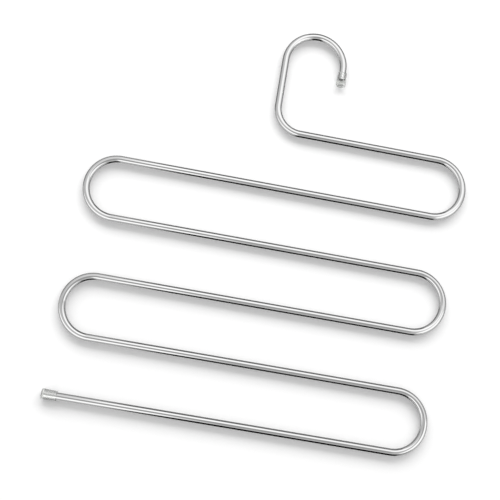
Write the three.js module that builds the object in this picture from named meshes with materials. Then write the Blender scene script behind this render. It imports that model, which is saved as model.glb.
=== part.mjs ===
// Multi tier trouser hanger: one long steel tube, bent into a hook and six level bars,
// with a clear soft cap pushed over each of its two ends.
//
// Units are millimetres. The hanger is flat and lies in the XZ plane as it hangs, with +Z up
// and its bars along X. The origin is the highest point of the hook's inner side, where the
// hook sits on a rail.

import * as THREE from 'three';

// Tube stock: a thin walled round tube, drawn with flat facets
const tubeDiameter = 6.5;
const tubeWall = 0.5;
const tubeFacets = 16;
const boreFacets = 12;

// Bends, measured to the tube's centre line
const hookBendRadius = 28.2;
const neckBendRadius = 24.7;
const tierBendRadius = 28.2;
const facetsPerHalfTurn = 20;

// Straight runs between the bends, from the hook's tip to the free end of the lowest bar
const hookTipRun = 10.3;
const neckRun = 46.8;
const topBarRun = 135.5;
const firstTierRun = 296.5;
const secondTierRun = 292;
const thirdTierRun = 293;
const fourthTierRun = 290;
const fifthTierRun = 318.5;

// End caps: both are the same soft moulding, a sleeve that is thicker towards its closed end
const capLength = 14.2;
const capRimDiameter = 8.7;
const capEndDiameter = 9.8;
const capEndWall = 2;
const capCornerRadius = 1.8;
const capRimRadius = 0.3;
const capClearance = 0.3;
const capFacets = 24;
const cornerFacets = 5;
const rimFacets = 3;

// How far each end of the tube goes into its cap. The cap on the lowest bar is pushed home,
// but for a small air gap, and the one on the hook is only half way on.
const hookCapGrip = 7.1;
const barCapAirGap = 0.5;
const barCapGrip = capLength - capEndWall - barCapAirGap;
const barCappedRun = barCapGrip + capClearance;

const tubeRadius = tubeDiameter / 2;
const boreRadius = tubeRadius - tubeWall;
const halfTurn = Math.PI;
const quarterTurn = Math.PI / 2;
const fullTurn = Math.PI * 2;
const acrossThePlane = new THREE.Vector3(0, 1, 0);

// A straight leg runs on along the heading. A bend turns about a centre beside the path, to
// the left for a positive turn and to the right for a negative one, seen from the front.
const straight = (length) => ({ length, radius: 0, turn: 0 });
const bend = (radius, turn) => ({ length: 0, radius, turn });

// The tube's centre line, as the tube is bent. The lowest bar is laid in two lengths, the second
// of them under its cap, so the open bar's flats end where the cap begins.
const legs = [
  straight(hookTipRun),
  bend(hookBendRadius, halfTurn),
  straight(neckRun),
  bend(neckBendRadius, quarterTurn),
  straight(topBarRun),
  bend(tierBendRadius, -halfTurn),
  straight(firstTierRun),
  bend(tierBendRadius, halfTurn),
  straight(secondTierRun),
  bend(tierBendRadius, -halfTurn),
  straight(thirdTierRun),
  bend(tierBendRadius, halfTurn),
  straight(fourthTierRun),
  bend(tierBendRadius, -halfTurn),
  straight(fifthTierRun - barCappedRun),
  straight(barCappedRun),
];

// The hook's tip points straight down beside the neck. The crown's inner side is at height zero.
const hookCentreHeight = tubeRadius - hookBendRadius;
const tubeStart = {
  x: hookBendRadius,
  z: hookCentreHeight - hookTipRun,
  heading: quarterTurn,
};

function walkStraight(from, leg) {
  return [{
    x: from.x + leg.length * Math.cos(from.heading),
    z: from.z + leg.length * Math.sin(from.heading),
    heading: from.heading,
  }];
}

function walkBend(from, leg) {
  const side = Math.sign(leg.turn);
  const centreX = from.x - side * leg.radius * Math.sin(from.heading);
  const centreZ = from.z + side * leg.radius * Math.cos(from.heading);
  const steps = Math.round(facetsPerHalfTurn * Math.abs(leg.turn) / halfTurn);
  const stations = [];
  for (let step = 1; step <= steps; step += 1) {
    const heading = from.heading + leg.turn * step / steps;
    stations.push({
      x: centreX + side * leg.radius * Math.sin(heading),
      z: centreZ - side * leg.radius * Math.cos(heading),
      heading,
    });
  }
  return stations;
}

// Stations stand at both ends of every leg, and at even turns along every bend.
function walk(start, route) {
  const stations = [start];
  for (const leg of route) {
    const from = stations[stations.length - 1];
    stations.push(...(leg.turn === 0 ? walkStraight(from, leg) : walkBend(from, leg)));
  }
  return stations;
}

// A flat path that gives its own stations, so each bend keeps its facets and each straight
// leg is one clean prism. The section's x axis points across the path in the hanger's plane
// and its y axis points out of that plane.
class BentPath extends THREE.Curve {
  constructor(stations) {
    super();
    this.stations = stations;
  }

  get steps() {
    return this.stations.length - 1;
  }

  getPoint(share, target = new THREE.Vector3()) {
    const place = share * this.steps;
    const index = Math.min(Math.floor(place), this.steps - 1);
    const a = this.stations[index];
    const b = this.stations[index + 1];
    const part = place - index;
    return target.set(a.x + (b.x - a.x) * part, 0, a.z + (b.z - a.z) * part);
  }

  getSpacedPoints() {
    return this.stations.map(({ x, z }) => new THREE.Vector3(x, 0, z));
  }

  computeFrenetFrames() {
    const tangents = this.stations.map(
      ({ heading }) => new THREE.Vector3(Math.cos(heading), 0, Math.sin(heading)),
    );
    const binormals = tangents.map(() => acrossThePlane.clone());
    const normals = tangents.map((tangent) => acrossThePlane.clone().cross(tangent));
    return { tangents, normals, binormals };
  }
}

// A regular polygon whose flats, not its corners, touch the circle, with one flat on each axis
function facetedCircle(radius, facets) {
  const cornerRadius = radius / Math.cos(halfTurn / facets);
  const points = [];
  for (let corner = 0; corner < facets; corner += 1) {
    const angle = fullTurn * corner / facets + halfTurn / facets;
    points.push(new THREE.Vector2(cornerRadius * Math.cos(angle), cornerRadius * Math.sin(angle)));
  }
  return points;
}

// A quarter of a circle from one angle to another, as points of a profile
function roundedCorner(centreX, centreY, radius, fromAngle, toAngle, facets) {
  const points = [];
  for (let step = 0; step <= facets; step += 1) {
    const angle = fromAngle + (toAngle - fromAngle) * step / facets;
    points.push(new THREE.Vector2(
      centreX + radius * Math.cos(angle),
      centreY + radius * Math.sin(angle),
    ));
  }
  return points;
}

function makeBentTube() {
  const path = new BentPath(walk(tubeStart, legs));
  const section = new THREE.Shape(facetedCircle(tubeRadius, tubeFacets));
  section.holes.push(new THREE.Path(facetedCircle(boreRadius, boreFacets).reverse()));
  return new THREE.ExtrudeGeometry(section, { steps: path.steps, extrudePath: path });
}

// The cap is turned about its Y axis, with its closed end at zero and its rim at its length.
// Its bore clears the tube's corners all round.
function makeCap() {
  const capBoreRadius = tubeRadius / Math.cos(halfTurn / tubeFacets) + capClearance;
  const endRadius = capEndDiameter / 2;
  const rimOuterRadius = capRimDiameter / 2;
  const profile = [
    new THREE.Vector2(0, 0),
    ...roundedCorner(
      endRadius - capCornerRadius, capCornerRadius, capCornerRadius,
      -quarterTurn, 0, cornerFacets,
    ),
    ...roundedCorner(
      rimOuterRadius - capRimRadius, capLength - capRimRadius, capRimRadius,
      0, quarterTurn, rimFacets,
    ),
    new THREE.Vector2(capBoreRadius, capLength),
    new THREE.Vector2(capBoreRadius, capEndWall),
    new THREE.Vector2(0, capEndWall),
  ];
  return new THREE.LatheGeometry(profile, capFacets);
}

// Finishes
const polishedSteel = new THREE.MeshStandardMaterial({
  name: 'polished_steel',
  color: 0xc9c9c6,
  metalness: 1,
  roughness: 0.14,
});
const clearVinyl = new THREE.MeshStandardMaterial({
  name: 'clear_vinyl',
  color: 0xe9ebea,
  metalness: 0,
  roughness: 0.18,
  transparent: true,
  opacity: 0.45,
});

const hanger = new THREE.Group();
hanger.name = 'multi_tier_trouser_hanger';

const bentTube = new THREE.Mesh(makeBentTube(), polishedSteel);
bentTube.name = 'bent_tube';
hanger.add(bentTube);

// The hook's cap points down: its rim is up the tip by its grip.
const hookTipCap = new THREE.Mesh(makeCap(), clearVinyl.clone());
hookTipCap.name = 'hook_tip_cap';
hookTipCap.rotation.x = quarterTurn;
hookTipCap.position.set(tubeStart.x, 0, tubeStart.z + hookCapGrip - capLength);
hanger.add(hookTipCap);

// The bar's cap points away from the lowest bar, along its heading at the free end.
const freeEnd = walk(tubeStart, legs).pop();
const barEndCap = new THREE.Mesh(makeCap(), clearVinyl.clone());
barEndCap.name = 'bar_end_cap';
barEndCap.rotation.z = -quarterTurn;
barEndCap.position.set(freeEnd.x + barCapGrip - capLength, 0, freeEnd.z);
hanger.add(barEndCap);

export default hanger;
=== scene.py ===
import logging
import math
from dataclasses import dataclass, field
from enum import Enum
from typing import Any

import bpy
import numpy as np
from mathutils import Matrix, Vector


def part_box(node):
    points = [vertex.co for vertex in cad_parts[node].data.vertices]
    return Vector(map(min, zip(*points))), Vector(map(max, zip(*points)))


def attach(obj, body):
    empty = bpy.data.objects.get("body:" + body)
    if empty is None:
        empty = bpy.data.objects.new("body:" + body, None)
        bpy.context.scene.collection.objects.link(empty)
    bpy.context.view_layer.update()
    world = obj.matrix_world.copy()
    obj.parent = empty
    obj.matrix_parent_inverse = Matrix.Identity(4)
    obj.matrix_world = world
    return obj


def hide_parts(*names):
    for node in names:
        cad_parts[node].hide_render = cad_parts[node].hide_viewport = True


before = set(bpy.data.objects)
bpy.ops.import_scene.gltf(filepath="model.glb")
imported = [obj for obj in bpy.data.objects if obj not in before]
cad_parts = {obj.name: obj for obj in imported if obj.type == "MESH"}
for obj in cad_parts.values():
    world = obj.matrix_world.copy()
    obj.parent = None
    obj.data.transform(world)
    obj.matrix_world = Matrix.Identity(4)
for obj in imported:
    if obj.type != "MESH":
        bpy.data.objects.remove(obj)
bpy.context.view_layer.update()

# The looks of a multi tier trouser hanger: one polished stainless steel tube, bent into a hook
# and six level bars, with a clear soft vinyl cap on each end. It lies on a pale sheet that its
# shadow falls on, and is lit by a wide soft lamp from beyond its hook. The hanger is flat in the
# XZ plane, +Z up as it hangs, and the camera looks along +Y.

MM = 0.001
FULL_TURN = 2 * math.pi
HALF_TURN = math.pi
QUARTER_TURN = math.pi / 2
SHARP_EDGE = math.radians(35)
FULL_BYTE = 255
WHITE = "#ffffff"
BODY = "root"
STRAIGHTENED = "straightened"

log = logging.getLogger("trouser_hanger")


class Node(Enum):
    """The CAD nodes that the pieces stand for."""

    TUBE = "bent_tube"
    HOOK_CAP = "hook_tip_cap"
    BAR_CAP = "bar_end_cap"


class Slot(Enum):
    """The record's material slots."""

    STEEL = "steel_tube"
    CAP = "clear_cap"


def linear(hex_colour: str) -> tuple[float, float, float, float]:
    """Turns an sRGB hex colour to linear light.

    A value up to 0.04045 is divided by 12.92. Above it, 0.055 is added, and the sum over 1.055
    is raised to the power 2.4.

    Args:
        hex_colour: six hex digits after a hash, such as "#c0c0c0".

    Returns:
        Red, green and blue in linear light, and an alpha of 1.
    """
    shown = np.array(list(bytes.fromhex(hex_colour[1:]))) / FULL_BYTE
    light = np.where(shown <= 0.04045, shown / 12.92, ((shown + 0.055) / 1.055) ** 2.4)
    return (*light.tolist(), 1.0)


def add_node(
    tree: bpy.types.NodeTree,
    kind: str,
    inputs: dict[str | int, Any] | None = None,
    **settings: Any,
) -> bpy.types.Node:
    """Adds one node to a tree, sets it up and links it.

    Args:
        tree: the node tree.
        kind: the node's type, without the words before it, such as "BsdfPrincipled".
        inputs: a value, or the output socket to link from, for each input by name or place.
        **settings: the node's own properties.

    Returns:
        The new node.
    """
    node = tree.nodes.new(f"ShaderNode{kind}")
    for name, value in settings.items():
        setattr(node, name, value)
    for socket, value in (inputs or {}).items():
        if isinstance(value, bpy.types.NodeSocket):
            tree.links.new(value, node.inputs[socket])
        else:
            node.inputs[socket].default_value = value
    return node


def new_material(name: str) -> tuple[bpy.types.Material, bpy.types.NodeTree]:
    """Makes an empty node material.

    Args:
        name: the material's name.

    Returns:
        The material and its node tree.
    """
    material = bpy.data.materials.new(name)
    material.use_nodes = True
    material.node_tree.nodes.clear()
    return material, material.node_tree


@dataclass(frozen=True)
class Grain:
    """Noise whose grains have one size around a piece and one along it, both in mm."""

    around: float
    along: float
    detail: float

    def noise(self, tree: bpy.types.NodeTree) -> bpy.types.NodeSocket:
        """Adds the noise to a tree, laid on the piece as if it were straight.

        Args:
            tree: the material's node tree.

        Returns:
            The noise's value, from 0 to 1.
        """
        place = add_node(tree, "Attribute", attribute_name=STRAIGHTENED).outputs["Vector"]
        scale = (1 / (self.around * MM), 1 / (self.around * MM), 1 / (self.along * MM))
        spot = add_node(tree, "Mapping", {"Vector": place, "Scale": scale}).outputs[0]
        return add_node(
            tree, "TexNoise", {"Vector": spot, "Scale": 1.0, "Detail": self.detail}
        ).outputs["Fac"]


@dataclass(frozen=True)
class PolishedStainless:
    """Stainless steel tube, drawn through a die, polished and then bent.

    To the eye it is a mirror of neutral grey. The drawing left fine lines along it, duller in
    some stretches than in others. The polishing left it very slightly uneven, so its reflections
    waver, and handling left faint rub marks across it, where the rub noise is high. The real
    lines are about 0.05 mm apart, and are drawn coarser here to show. Heights are in mm.
    """

    bright: str = "#bababa"
    dull: str = "#a2a2a2"
    edge: str = "#a8a8a8"
    lines: Grain = Grain(around=0.9, along=60.0, detail=3.0)
    unevenness: Grain = Grain(around=3.5, along=16.0, detail=1.0)
    stains: Grain = Grain(around=24.0, along=24.0, detail=4.0)
    rubs: Grain = Grain(around=5.0, along=0.5, detail=2.0)
    line_height: float = 0.0012
    unevenness_height: float = 0.009
    rub_from: float = 0.6
    rub_full: float = 0.75
    roughness: float = 0.05
    rub_roughness: float = 0.05
    dull_roughness: float = 0.08

    def material(self) -> bpy.types.Material:
        """Makes the node material, whose patterns follow the tube as if it were straight.

        Returns:
            The material.
        """
        material, tree = new_material("polished_stainless_steel")
        lines = self.lines.noise(tree)
        rubbed = add_node(
            tree, "MapRange",
            {"Value": self.rubs.noise(tree), "From Min": self.rub_from, "From Max": self.rub_full},
        ).outputs[0]
        dulled = add_node(
            tree, "Math", {0: lines, 1: self.stains.noise(tree)}, operation="MULTIPLY"
        ).outputs[0]
        colour = add_node(
            tree, "MixRGB",
            {"Fac": dulled, "Color1": linear(self.bright), "Color2": linear(self.dull)},
        ).outputs[0]
        worn = add_node(
            tree, "Math", {0: rubbed, 1: self.rub_roughness, 2: self.roughness},
            operation="MULTIPLY_ADD",
        ).outputs[0]
        rough = add_node(
            tree, "Math", {0: dulled, 1: self.dull_roughness, 2: worn}, operation="MULTIPLY_ADD"
        ).outputs[0]
        uneven = add_node(
            tree, "Bump",
            {
                "Height": self.unevenness.noise(tree),
                "Distance": self.unevenness_height * MM,
                "Strength": 1.0,
            },
        ).outputs[0]
        lined = add_node(
            tree, "Bump",
            {"Height": lines, "Distance": self.line_height * MM, "Normal": uneven},
        ).outputs[0]
        steel = add_node(
            tree, "BsdfPrincipled",
            {
                "Base Color": colour,
                "Metallic": 1.0,
                "Specular Tint": linear(self.edge),
                "Roughness": rough,
                "Normal": lined,
            },
        )
        add_node(tree, "OutputMaterial", {"Surface": steel.outputs[0]})
        return material


@dataclass(frozen=True)
class ClearVinyl:
    """Plasticised vinyl, dip moulded into a soft clear cap.

    To the eye it is clear with a glossy skin, a little cloudy and slightly rippled. Where it is
    pushed home on the tube, the tube's streaks show as wide as the cap and its edges gather into
    grey lines. Where it stands off the tube it is faint, and its solidity says how much of it
    bends the light. The ripples' height is in mm.
    """

    name: str = "clear_vinyl"
    colour: str = "#fafbf9"
    ior: float = 1.53
    clouds: Grain = Grain(around=1.2, along=1.2, detail=3.0)
    ripples: Grain = Grain(around=4.0, along=4.0, detail=1.0)
    ripple_height: float = 0.001
    roughness: float = 0.004
    cloud_roughness: float = 0.004
    solidity: float = 1.0

    def material(self) -> bpy.types.Material:
        """Makes the node material, whose patterns follow the cap along its own axis.

        Returns:
            The material.
        """
        material, tree = new_material(self.name)
        rough = add_node(
            tree, "Math",
            {0: self.clouds.noise(tree), 1: self.cloud_roughness, 2: self.roughness},
            operation="MULTIPLY_ADD",
        ).outputs[0]
        rippled = add_node(
            tree, "Bump",
            {
                "Height": self.ripples.noise(tree),
                "Distance": self.ripple_height * MM,
                "Strength": 1.0,
            },
        ).outputs[0]
        vinyl = add_node(
            tree, "BsdfPrincipled",
            {
                "Base Color": linear(self.colour),
                "Roughness": rough,
                "IOR": self.ior,
                "Transmission Weight": 1.0,
                "Alpha": self.solidity,
                "Normal": rippled,
            },
        )
        add_node(tree, "OutputMaterial", {"Surface": vinyl.outputs[0]})
        return material


def make_object(
    name: str,
    points: np.ndarray,
    quads: np.ndarray,
    straightened: np.ndarray | None = None,
) -> bpy.types.Object:
    """Makes a smooth shaded mesh object at the origin.

    Args:
        name: the object's name.
        points: one row for each vertex, in millimetres.
        quads: one row of vertex numbers for each face, where a triangle repeats its last one.
        straightened: one row for each vertex, its place on the piece as if it were straight.

    Returns:
        The new object, linked to the scene.
    """
    mesh = bpy.data.meshes.new(name)
    faces = [row[:3] if row[2] == row[3] else row for row in quads.tolist()]
    mesh.from_pydata((points * MM).tolist(), [], faces)
    mesh.shade_smooth()
    mesh.set_sharp_from_angle(angle=SHARP_EDGE)
    if straightened is not None:
        attribute = mesh.attributes.new(STRAIGHTENED, "FLOAT_VECTOR", "POINT")
        attribute.data.foreach_set("vector", (straightened * MM).astype(np.float32).ravel())
    mesh.validate()
    obj = bpy.data.objects.new(name, mesh)
    bpy.context.scene.collection.objects.link(obj)
    return obj


def circle_angles(sides: int) -> np.ndarray:
    """Even angles once round a circle, from zero."""
    return np.arange(sides) / sides * FULL_TURN


def round_grid(rows: int, columns: int, closed: bool) -> np.ndarray:
    """Numbers the faces of a grid whose columns run round and meet.

    Args:
        rows: rows of vertices.
        columns: vertices in each row.
        closed: whether the last row joins the first one too.

    Returns:
        Four vertex numbers for each face: this row and the next one, this column and the next.
    """
    row = np.arange(rows if closed else rows - 1)[:, None]
    column = np.arange(columns)[None, :]
    after, beside = (row + 1) % rows, (column + 1) % columns
    corners = [
        row * columns + column,
        row * columns + beside,
        after * columns + beside,
        after * columns + column,
    ]
    return np.stack(corners, axis=-1).reshape(-1, 4)


def flat_grid(rows: int, columns: int) -> np.ndarray:
    """Numbers the faces of an open grid of vertices, row by row.

    Args:
        rows: rows of vertices.
        columns: vertices in each row.

    Returns:
        Four vertex numbers for each face: this row and the next one, this column and the next.
    """
    row, column = np.arange(rows - 1)[:, None], np.arange(columns - 1)[None, :]
    first = row * columns + column
    corners = [first, first + 1, first + columns + 1, first + columns]
    return np.stack(corners, axis=-1).reshape(-1, 4)


def dress(obj: bpy.types.Object, material: bpy.types.Material, node: Node) -> None:
    """Gives a piece its material and its place in the frame, and reports it.

    Args:
        obj: the piece.
        material: its finish.
        node: the CAD node that it stands for.
    """
    obj.data.materials.append(material)
    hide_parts(node.value)
    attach(obj, BODY)
    log.info("%s: %d faces, for %s", obj.name, len(obj.data.polygons), node.value)


def tube_radius() -> float:
    """The tube's outer radius in mm, read from the frame."""
    low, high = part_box(Node.TUBE.value)
    return (high.y - low.y) / 2 / MM


@dataclass(frozen=True)
class Leg:
    """One leg of the tube's centre line: a straight run, or a bend to the left or the right."""

    length: float = 0.0
    radius: float = 0.0
    turn: float = 0.0


@dataclass
class CentreLine:
    """Stations along the tube: their places, headings and distances from the hook's tip."""

    x: np.ndarray
    z: np.ndarray
    heading: np.ndarray
    along: np.ndarray


@dataclass
class BentTube:
    """The hanger's one tube, from the hook's tip to the free end of the lowest bar, in mm.

    Its lip is the small round at a cut edge. A step is the longest distance between two stations
    of a bend, on the outer skin or in the bore.
    """

    wall: float = 0.5
    hook_radius: float = 28.2
    neck_radius: float = 24.7
    tier_radius: float = 28.2
    tip_run: float = 10.3
    neck_run: float = 46.8
    top_bar_run: float = 135.5
    tier_runs: tuple[float, ...] = (296.5, 292.0, 293.0, 290.0, 318.5)
    lip: float = 0.13
    sides: int = 64
    outer_step: float = 0.9
    bore_step: float = 3.0
    finish: PolishedStainless = field(default_factory=PolishedStainless)

    def legs(self) -> list[Leg]:
        """Lists the centre line's legs.

        Returns:
            The legs from the hook's tip on, with left turns positive.
        """
        legs = [
            Leg(length=self.tip_run),
            Leg(radius=self.hook_radius, turn=HALF_TURN),
            Leg(length=self.neck_run),
            Leg(radius=self.neck_radius, turn=QUARTER_TURN),
            Leg(length=self.top_bar_run),
        ]
        for tier, run in enumerate(self.tier_runs):
            turn = -HALF_TURN if tier % 2 == 0 else HALF_TURN
            legs += [Leg(radius=self.tier_radius, turn=turn), Leg(length=run)]
        return legs

    def centre_line(self, step: float) -> CentreLine:
        """Walks the legs.

        A straight run adds its length along the heading. A bend's stations stand on a circle
        about a centre one radius to the side, at even turns.

        Args:
            step: the longest distance between two stations of a bend.

        Returns:
            The stations, with one at each end of every leg.
        """
        x, z = self.hook_radius, tube_radius() - self.hook_radius - self.tip_run
        heading, along = QUARTER_TURN, 0.0
        rows = [np.array([[x, z, heading, along]])]
        for leg in self.legs():
            if leg.turn:
                side = math.copysign(leg.radius, leg.turn)
                count = math.ceil(leg.radius * abs(leg.turn) / step)
                share = np.arange(1, count + 1) / count
                turned = heading + leg.turn * share
                centre_x = x - side * math.sin(heading)
                centre_z = z + side * math.cos(heading)
                row = [
                    centre_x + side * np.sin(turned),
                    centre_z - side * np.cos(turned),
                    turned,
                    along + leg.radius * abs(leg.turn) * share,
                ]
                rows.append(np.stack(row, axis=1))
            else:
                end = [x + leg.length * math.cos(heading), z + leg.length * math.sin(heading)]
                rows.append(np.array([[*end, heading, along + leg.length]]))
            x, z, heading, along = rows[-1][-1].tolist()
        return CentreLine(*np.concatenate(rows).T)

    def with_lips(self, line: CentreLine) -> CentreLine:
        """Adds a station just inside each end, where the cut edge's small round begins.

        A new station stands the lip's length from the end, on the way to the next station.

        Args:
            line: the stations.

        Returns:
            The stations and the two new ones.
        """
        first = self.lip / (line.along[1] - line.along[0])
        last = self.lip / (line.along[-1] - line.along[-2])
        fields = []
        for values in (line.x, line.z, line.heading, line.along):
            start = values[0] + (values[1] - values[0]) * first
            end = values[-1] + (values[-2] - values[-1]) * last
            fields.append(np.concatenate([values[:1], [start], values[1:-1], [end], values[-1:]]))
        return CentreLine(*fields)

    def skin(self, line: CentreLine, radius: np.ndarray) -> tuple[np.ndarray, np.ndarray]:
        """Sweeps a circle along stations.

        A vertex stands off its station by the radius, times the cosine of its angle to the left
        of the heading and times the sine of it out of the hanger's plane.

        Args:
            line: the stations.
            radius: the circle's radius at each station.

        Returns:
            The vertices, and the same vertices on a straight tube, station by station.
        """
        angle = circle_angles(self.sides)
        left = radius[:, None] * np.cos(angle)
        out = radius[:, None] * np.sin(angle)
        x = line.x[:, None] - left * np.sin(line.heading)[:, None]
        z = line.z[:, None] + left * np.cos(line.heading)[:, None]
        along = np.broadcast_to(line.along[:, None], left.shape)
        bent = np.stack([x, out, z], axis=-1)
        straight = np.stack([left, out, along], axis=-1)
        return bent.reshape(-1, 3), straight.reshape(-1, 3)

    def build(self) -> None:
        """Builds the tube: its skin from tip to end, and its bore from end to tip."""
        skin_line = self.with_lips(self.centre_line(self.outer_step))
        bore_line = self.with_lips(self.centre_line(self.bore_step))
        skin_radius = np.full(skin_line.x.size, tube_radius())
        skin_radius[[0, -1]] -= self.lip
        bore_radius = np.full(bore_line.x.size, tube_radius() - self.wall)
        bore_radius[[0, -1]] += self.lip
        reverse = CentreLine(*(values[::-1] for values in vars(bore_line).values()))
        skin, skin_straight = self.skin(skin_line, skin_radius)
        bore, bore_straight = self.skin(reverse, bore_radius[::-1])
        points = np.concatenate([skin, bore])
        quads = round_grid(points.shape[0] // self.sides, self.sides, closed=True)
        straight = np.concatenate([skin_straight, bore_straight])
        obj = make_object("polished_tube", points, quads, straight)
        dress(obj, self.finish.material(), Node.TUBE)


@dataclass
class EndCap:
    """A soft clear cap: a sleeve, closed at one end and thicker towards it, in mm.

    Its closed end's face rises by the crown, and its bore is tighter than the tube by the grip.
    """

    node: Node
    name: str
    rim_diameter: float = 8.7
    end_wall: float = 2.0
    corner_radius: float = 1.8
    rim_radius: float = 0.3
    crown: float = 0.25
    grip: float = 0.02
    sides: int = 96
    corner_rows: int = 14
    wall_rows: int = 24
    finish: ClearVinyl = field(default_factory=ClearVinyl)

    def outline(self, length: float, end_radius: float) -> np.ndarray:
        """The cap's outline from its closed end's middle, round the rim, to its bore's middle.

        The end face falls with the square of the radius. The corner, the lip and the bore's
        bottom edge are arcs, and the wall runs straight from the corner to the rim.

        Args:
            length: the cap's whole length.
            end_radius: its largest radius, near the closed end.

        Returns:
            One row for each point: its distance from the closed end, and its radius.
        """
        corner, rim = self.corner_radius, self.rim_radius
        rim_outer = self.rim_diameter / 2
        bore = tube_radius() - self.grip
        face_r = np.linspace(0, end_radius - corner, self.corner_rows, endpoint=False)
        face_z = self.crown * (face_r / (end_radius - corner)) ** 2
        turn = np.linspace(-QUARTER_TURN, 0, self.corner_rows)
        corner_z = corner + (corner - self.crown) * np.sin(turn)
        corner_r = end_radius - corner + corner * np.cos(turn)
        share = np.linspace(0, 1, self.wall_rows)[1:-1]
        wall_z = corner + (length - rim - corner) * share
        wall_r = end_radius + (rim_outer - end_radius) * share
        lip = np.linspace(0, HALF_TURN, self.corner_rows)
        lip_middle = rim_outer - rim
        lip_half_width = np.where(lip < QUARTER_TURN, rim, lip_middle - bore)
        lip_z = length - rim + rim * np.sin(lip)
        lip_r = lip_middle + lip_half_width * np.cos(lip)
        bore_z = np.linspace(length - rim, self.end_wall + rim, self.wall_rows)[1:]
        bore_r = np.full(bore_z.size, bore)
        bottom = np.linspace(0, QUARTER_TURN, self.corner_rows)[1:]
        bottom_z = self.end_wall + rim - rim * np.sin(bottom)
        bottom_r = bore - rim + rim * np.cos(bottom)
        floor_r = np.linspace(bore - rim, 0, self.corner_rows)[1:]
        floor_z = np.full(floor_r.size, self.end_wall)
        z = [face_z, corner_z, wall_z, lip_z, bore_z, bottom_z, floor_z]
        r = [face_r, corner_r, wall_r, lip_r, bore_r, bottom_r, floor_r]
        return np.stack([np.concatenate(z), np.concatenate(r)], axis=1)

    def turned(self, outline: np.ndarray) -> tuple[np.ndarray, np.ndarray]:
        """Turns the outline about the cap's own axis, from the closed end to the rim.

        A vertex stands at its distance along the axis, and off it by its radius, times the
        cosine of its angle across and times the sine of it out. The outline's two ends are one
        vertex each, at the middle of a fan of triangles.

        Args:
            outline: one row for each point: its distance from the closed end, and its radius.

        Returns:
            The vertices, and four vertex numbers for each face.
        """
        rows = outline[1:-1]
        angle = circle_angles(self.sides)
        across, out = rows[:, 1:] * np.cos(angle), rows[:, 1:] * np.sin(angle)
        along = np.broadcast_to(rows[:, :1], across.shape)
        ring = np.stack([across, out, along], axis=-1).reshape(-1, 3)
        ends = np.array([[0, 0, outline[0, 0]], [0, 0, outline[-1, 0]]])
        face_middle = np.full(self.sides, len(ring))
        floor_middle = face_middle + 1
        column = np.arange(self.sides)
        beside = (column + 1) % self.sides
        last = (len(rows) - 1) * self.sides
        face_fan = np.stack([face_middle, beside, column, column], axis=1)
        floor_fan = np.stack([floor_middle, last + column, last + beside, last + beside], axis=1)
        quads = round_grid(len(rows), self.sides, closed=False)
        return np.concatenate([ring, ends]), np.concatenate([quads, face_fan, floor_fan])

    def build(self) -> None:
        """Builds the cap where the frame has it.

        Its own axis is laid along its box's longest side, with its closed end at the low one.
        Out stays along Y, and across goes along X, or down where the axis takes X.
        """
        low, high = (np.array(corner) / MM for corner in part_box(self.node.value))
        size = high - low
        axis = int(np.argmax(size))
        origin = (low + high) / 2
        origin[axis] = low[axis]
        local, faces = self.turned(self.outline(size[axis], size[1] / 2))
        to_frame = np.zeros((3, 3))
        to_frame[0, 2 - axis] = -1 if axis == 0 else 1
        to_frame[1, 1] = 1
        to_frame[2, axis] = 1
        obj = make_object(self.name, local @ to_frame + origin, faces, local)
        dress(obj, self.finish.material(), self.node)


@dataclass(frozen=True)
class Panel:
    """A curved panel of the studio, placed by where it stands as seen from the hanger's middle.

    Its angles are in degrees. Up counts from the hanger's own normal towards the hook, past 90
    behind the hanger, and side counts towards +X. The two brightnesses are at its -X and its +X
    edge, where 1 is white, and its borders fade over the soft angle. The metal reflects every
    panel, and in_caps says whether the clear caps show this one too.
    """

    name: str
    up: tuple[float, float]
    side: tuple[float, float]
    brightness: tuple[float, float]
    soft: float
    in_caps: bool = True


@dataclass(frozen=True)
class Card:
    """A dark card that stands across the sheet beyond the lowest bar, placed in mm.

    Its x and y are its edges, its z is where it stands, and its -X border fades over soft.
    """

    name: str
    x: tuple[float, float]
    y: tuple[float, float]
    z: float
    soft: float


def smooth_step(values: np.ndarray) -> np.ndarray:
    """Eases values from 0 to 1: three times the square, less twice the cube."""
    share = np.clip(values, 0, 1)
    return share * share * (3 - 2 * share)


def towards(up: np.ndarray | float, side: np.ndarray | float) -> np.ndarray:
    """Turns angles to directions of length one.

    The side angle turns a direction from the hanger's upright plane, X = 0, towards +X, and the
    up angle turns it within that plane from -Y towards +Z.

    Args:
        up: the up angles, in degrees.
        side: the side angles, in degrees.

    Returns:
        The directions, with X, Y and Z along the last axis.
    """
    rise, aside = np.radians(up), np.radians(side)
    return np.stack(
        [np.sin(aside), -np.cos(aside) * np.cos(rise), np.cos(aside) * np.sin(rise)], axis=-1
    )


def seen(tree: bpy.types.NodeTree) -> bpy.types.NodeSocket:
    """Parts the rays that show the studio from the rays that gather its light.

    The eye, the clear caps and the metal show it. What the metal would throw on the sheet, which
    is a reflection that a diffuse bounce comes before, counts as light. The diffuse bounces are
    a whole number, so a half parts none from one.

    Args:
        tree: the node tree that needs it.

    Returns:
        A value that is 1 for rays that show the studio, and 0 for the others.
    """
    path = add_node(tree, "LightPath").outputs
    first = add_node(
        tree, "Math", {0: path["Diffuse Depth"], 1: 0.5}, operation="LESS_THAN"
    ).outputs[0]
    mirrored = add_node(
        tree, "Math", {0: path["Is Glossy Ray"], 1: first}, operation="MULTIPLY"
    ).outputs[0]
    straight = add_node(
        tree, "Math", {0: path["Is Camera Ray"], 1: path["Is Transmission Ray"]},
        operation="MAXIMUM",
    ).outputs[0]
    return add_node(tree, "Math", {0: straight, 1: mirrored}, operation="MAXIMUM").outputs[0]


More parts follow.
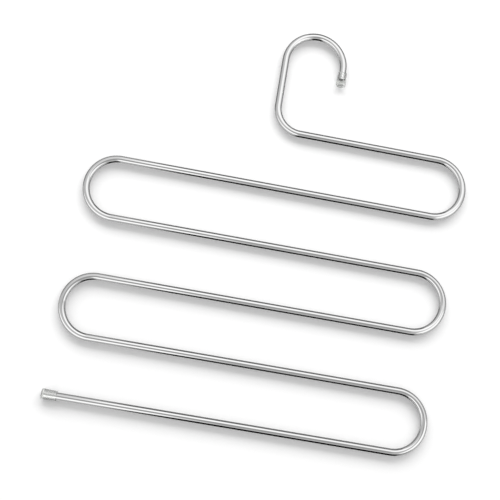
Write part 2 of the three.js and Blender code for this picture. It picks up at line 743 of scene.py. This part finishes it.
@dataclass(frozen=True)
class PaleSheet:
    """A matt pale sheet of card, clear from behind.

    To the eye it is white where no shadow falls, and it throws less light back than it shows.
    """

    shown: str = WHITE
    thrown: str = "#b3b3b3"

    def material(self) -> bpy.types.Material:
        """Makes the node material.

        Returns:
            The material.
        """
        material, tree = new_material("pale_sheet")
        colour = add_node(
            tree, "MixRGB",
            {"Fac": seen(tree), "Color1": linear(self.thrown), "Color2": linear(self.shown)},
        ).outputs[0]
        front = add_node(tree, "BsdfDiffuse", {"Color": colour}).outputs[0]
        clear = add_node(tree, "BsdfTransparent").outputs[0]
        behind = add_node(tree, "NewGeometry").outputs["Backfacing"]
        surface = add_node(tree, "MixShader", {0: behind, 1: front, 2: clear}).outputs[0]
        add_node(tree, "OutputMaterial", {"Surface": surface})
        return material


@dataclass(frozen=True)
class PanelGlow:
    """The face of a lit panel: it glows, fades out at its borders, and adds no light."""

    glow: str = "glow"
    cover: str = "cover"

    def material(self) -> bpy.types.Material:
        """Makes the node material, which reads the panel's own glow and cover.

        Returns:
            The material.
        """
        material, tree = new_material("panel_glow")
        glow = add_node(tree, "Attribute", attribute_name=self.glow).outputs["Fac"]
        whole = add_node(tree, "Attribute", attribute_name=self.cover).outputs["Fac"]
        cover = add_node(
            tree, "Math", {0: whole, 1: seen(tree)}, operation="MULTIPLY"
        ).outputs[0]
        light = add_node(tree, "Emission", {"Strength": glow}).outputs[0]
        clear = add_node(tree, "BsdfTransparent").outputs[0]
        surface = add_node(tree, "MixShader", {0: cover, 1: clear, 2: light}).outputs[0]
        add_node(tree, "OutputMaterial", {"Surface": surface})
        material.cycles.emission_sampling = "NONE"
        return material


@dataclass
class Studio:
    """The pale sheet, the soft lamp, the surround, the panels and the camera.

    Places and sizes are in mm, and angles in degrees. The middle is the hanger's, in X and Z.
    """

    middle: tuple[float, float] = (-16.0, -190.0)
    sheet_gap: float = 0.05
    sheet_size: float = 1500.0
    sheet: PaleSheet = field(default_factory=PaleSheet)
    dome: float = 0.65
    lamp_distance: float = 3000.0
    lamp_up: float = 55.0
    lamp_side: float = -4.5
    lamp_half_height: float = 17.8
    lamp_half_width: float = 48.0
    lamp_brightness: float = 3.13
    panel_distance: float = 1500.0
    panel_spacing: float = 10.0
    panel_rows: int = 40
    panel_glow: PanelGlow = field(default_factory=PanelGlow)
    panels: tuple[Panel, ...] = (
        Panel("upper_rear_right", (57, 178), (-7, 84), (0.32, 0.75), 6),
        Panel("upper_rear_left", (86, 165), (-75, -7), (0.42, 0.56), 6),
        Panel("rear_left", (-195, -105), (-90, -15), (0.8, 1.2), 8),
        Panel("softbox", (6, 60), (-63, 51), (0.92, 1.98), 6),
        Panel("softbox_middle", (10, 56), (-8, 53), (2.3, 1.7), 5),
        Panel("front_grey", (-44, 4), (-12, 19), (0.68, 0.64), 4),
        Panel("low_right", (-68, 4), (29, 71), (2.2, 2.2), 8),
        Panel("low_left", (-82, -38), (-95, 0), (2.5, 2.2), 6),
        # A painted reflection of the shade on the sheet below and behind the bars, drawn darker
        # than that shade: a black panel where the metal would see the shaded sheet.
        Panel("low_dark", (-190, -83), (-5, 27), (0.01, 0.01), 6, in_caps=False),
        Panel("rear_right", (-190, -92), (36, 90), (1.2, 0.8), 8),
    )
    card: Card = Card("low_card", x=(-125, 330), y=(-62, 4), z=-520, soft=80)
    camera_place: tuple[float, float, float] = (-106.1, -1005.9, -409.3)
    camera_aim: tuple[float, float, float] = (-32.4, 0.0, -216.1)
    camera_roll: float = 9.41
    sensor: float = 36.0
    photo_width: float = 500.0
    focal_pixels: float = 1100.0

    def build_camera(self) -> None:
        """Places the camera at its aim, leaning to the left by its roll."""
        data = bpy.data.cameras.new("camera")
        data.sensor_width = self.sensor
        data.lens = self.sensor * self.focal_pixels / self.photo_width
        camera = bpy.data.objects.new("camera", data)
        place, aim = (Vector(p) * MM for p in (self.camera_place, self.camera_aim))
        level = (aim - place).to_track_quat("-Z", "Y").to_matrix().to_4x4()
        lean = Matrix.Rotation(math.radians(self.camera_roll), 4, "Z")
        camera.matrix_world = Matrix.Translation(place) @ level @ lean
        bpy.context.scene.collection.objects.link(camera)
        bpy.context.scene.camera = camera

    def build_world(self) -> None:
        """Makes the surround, which is white to see and lights the hanger as an even dome."""
        world = bpy.data.worlds.new("surround")
        world.use_nodes = True
        tree = world.node_tree
        tree.nodes.clear()
        strength = add_node(
            tree, "MapRange", {"Value": seen(tree), "To Min": self.dome, "To Max": 1.0}
        ).outputs[0]
        surround = add_node(tree, "Background", {"Color": linear(WHITE), "Strength": strength})
        add_node(tree, "OutputWorld", {"Surface": surround.outputs[0]})
        bpy.context.scene.world = world

    def build_sheet(self) -> None:
        """Lays the sheet behind the hanger. The metal doesn't reflect it."""
        back = max(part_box(node.value)[1].y for node in Node) / MM + self.sheet_gap
        half = self.sheet_size / 2
        x, z = self.middle
        points = np.array([
            [x - half, back, z - half],
            [x + half, back, z - half],
            [x + half, back, z + half],
            [x - half, back, z + half],
        ])
        sheet = make_object("sheet", points, np.array([[0, 1, 2, 3]]))
        sheet.data.materials.append(self.sheet.material())
        sheet.visible_glossy = False

    def build_key(self) -> None:
        """Hangs the wide soft lamp beyond the hook, which casts the shadow on the sheet.

        Its power is its brightness times pi times its area, so its size doesn't change how
        bright its face is.
        """
        away = Vector(towards(self.lamp_up, self.lamp_side).tolist())
        middle = Vector((self.middle[0], 0.0, self.middle[1]))
        width, height = (
            2 * self.lamp_distance * MM * math.tan(math.radians(angle))
            for angle in (self.lamp_half_width, self.lamp_half_height)
        )
        data = bpy.data.lights.new("key_lamp", "AREA")
        data.shape = "RECTANGLE"
        data.size, data.size_y = width, height
        data.energy = self.lamp_brightness * math.pi * width * height
        lamp = bpy.data.objects.new("key_lamp", data)
        turned = away.to_track_quat("Z", "Y").to_matrix().to_4x4()
        lamp.matrix_world = Matrix.Translation((middle + away * self.lamp_distance) * MM) @ turned
        bpy.context.scene.collection.objects.link(lamp)
        lamp.visible_camera = lamp.visible_glossy = lamp.visible_transmission = False

    def build_panel(self, panel: Panel, place: int, glow: bpy.types.Material) -> None:
        """Builds one panel, a patch of a ball about the hanger's middle.

        Its cover is the product of four eased ramps, one at each border, and its brightness
        runs evenly from edge to edge.

        Args:
            panel: the panel.
            place: its place in the row of panels, each of which stands nearer than the last.
            glow: the material that all the panels share.
        """
        half = panel.soft / 2
        up = np.linspace(panel.up[0] - half, panel.up[1] + half, self.panel_rows)[:, None]
        side = np.linspace(panel.side[0] - half, panel.side[1] + half, self.panel_rows)[None, :]
        up, side = np.broadcast_arrays(up, side)
        distance = self.panel_distance - place * self.panel_spacing
        points = towards(up, side).reshape(-1, 3) * distance
        points += np.array([self.middle[0], 0.0, self.middle[1]])
        cover = np.ones(up.shape)
        for angle, (low, high) in ((up, panel.up), (side, panel.side)):
            cover = cover * smooth_step((angle - low + half) / panel.soft)
            cover = cover * smooth_step((high + half - angle) / panel.soft)
        brightness = np.interp(side, panel.side, panel.brightness)
        obj = make_object(panel.name, points, flat_grid(self.panel_rows, self.panel_rows))
        obj.visible_transmission = panel.in_caps
        self.finish_panel(obj, cover, brightness, glow)

    def build_card(self, card: Card, glow: bpy.types.Material) -> None:
        """Builds the dark card, black but for its faded border.

        Args:
            card: the card.
            glow: the material that the panels share.
        """
        x = np.linspace(*card.x, self.panel_rows)[:, None]
        y = np.linspace(*card.y, self.panel_rows)[None, :]
        x, y = np.broadcast_arrays(x, y)
        points = np.stack([x, y, np.full(x.shape, card.z)], axis=-1).reshape(-1, 3)
        obj = make_object(card.name, points, flat_grid(self.panel_rows, self.panel_rows))
        cover = smooth_step((x - card.x[0]) / card.soft)
        self.finish_panel(obj, cover, np.zeros(x.shape), glow)

    def finish_panel(
        self,
        obj: bpy.types.Object,
        cover: np.ndarray,
        brightness: np.ndarray,
        glow: bpy.types.Material,
    ) -> None:
        """Gives a panel its looks, and hides it from the camera, the sheet and the shadows.

        Args:
            obj: the panel's object.
            cover: how much of it there is at each vertex, from 0 to 1.
            brightness: how bright it is at each vertex, where 1 is white.
            glow: the material that all the panels share.
        """
        for name, values in ((self.panel_glow.cover, cover), (self.panel_glow.glow, brightness)):
            attribute = obj.data.attributes.new(name, "FLOAT", "POINT")
            attribute.data.foreach_set("value", values.astype(np.float32).ravel())
        obj.data.materials.append(glow)
        obj.visible_camera = obj.visible_diffuse = obj.visible_shadow = False

    def build(self) -> None:
        """Builds the whole studio."""
        self.build_camera()
        self.build_world()
        self.build_sheet()
        self.build_key()
        glow = self.panel_glow.material()
        for place, panel in enumerate(self.panels):
            self.build_panel(panel, place, glow)
        self.build_card(self.card, glow)
        bpy.context.scene.view_settings.view_transform = "Standard"


def main() -> None:
    """Builds the hanger and the studio."""
    logging.basicConfig(level=logging.INFO, format="%(name)s: %(message)s")
    Studio().build()
    BentTube().build()
    faint = ClearVinyl("faint_clear_vinyl", colour="#e8eae7", solidity=0.42)
    EndCap(Node.HOOK_CAP, "hook_tip_clear_cap", finish=faint).build()
    EndCap(Node.BAR_CAP, "bar_end_clear_cap").build()


if __name__ == "__main__":
    main()
